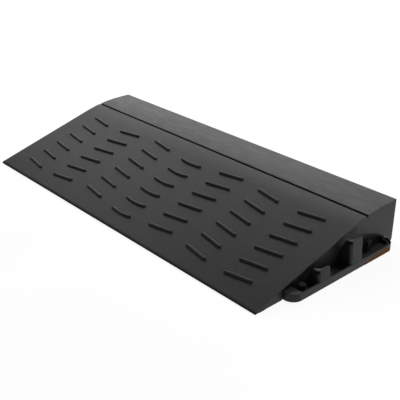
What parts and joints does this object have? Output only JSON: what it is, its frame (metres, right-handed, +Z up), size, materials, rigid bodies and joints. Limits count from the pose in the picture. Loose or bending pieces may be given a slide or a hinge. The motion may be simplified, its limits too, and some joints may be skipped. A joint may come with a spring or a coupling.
{
  "type": "threshold ramp",
  "caption": "Moulded plastic threshold ramp: a ribbed sloping deck hooked onto a base tray, with a lift-off landing strip along its rear edge.",
  "frame": {"origin": "centre of the footprint's bounding box, on the floor", "axes": "+X along the doorway, +Y uphill towards the threshold, +Z up"},
  "size_m": [0.7706, 0.338, 0.079],
  "materials": {
    "deck_plastic": "fine-grained satin black moulding",
    "strip_plastic": "satin black with a fine streaked grain along its length",
    "tray_plastic": "smooth satin black moulding",
    "grip_orange": "soft matt orange elastomer",
    "foot_rubber": "matt black rubber"
  },
  "bodies": {
    "base": {"base_tray": "tray_plastic", "grip_band": "grip_orange", "front_foot": "foot_rubber", "middle_foot": "foot_rubber"},
    "deck": {"ramp_deck": "deck_plastic", "nose_foot": "foot_rubber"},
    "strip": {"landing_strip": "strip_plastic"}
  },
  "joints": [
    {"name": "deck_slide", "type": "slide", "parent": "base", "child": "deck", "axis": [0, -1, 0], "range_m": [0, 0.0044]},
    {"name": "strip_lift", "type": "slide", "parent": "deck", "child": "strip", "axis": [0, 0, 1], "range_m": [0, 0.03]}
  ]
}
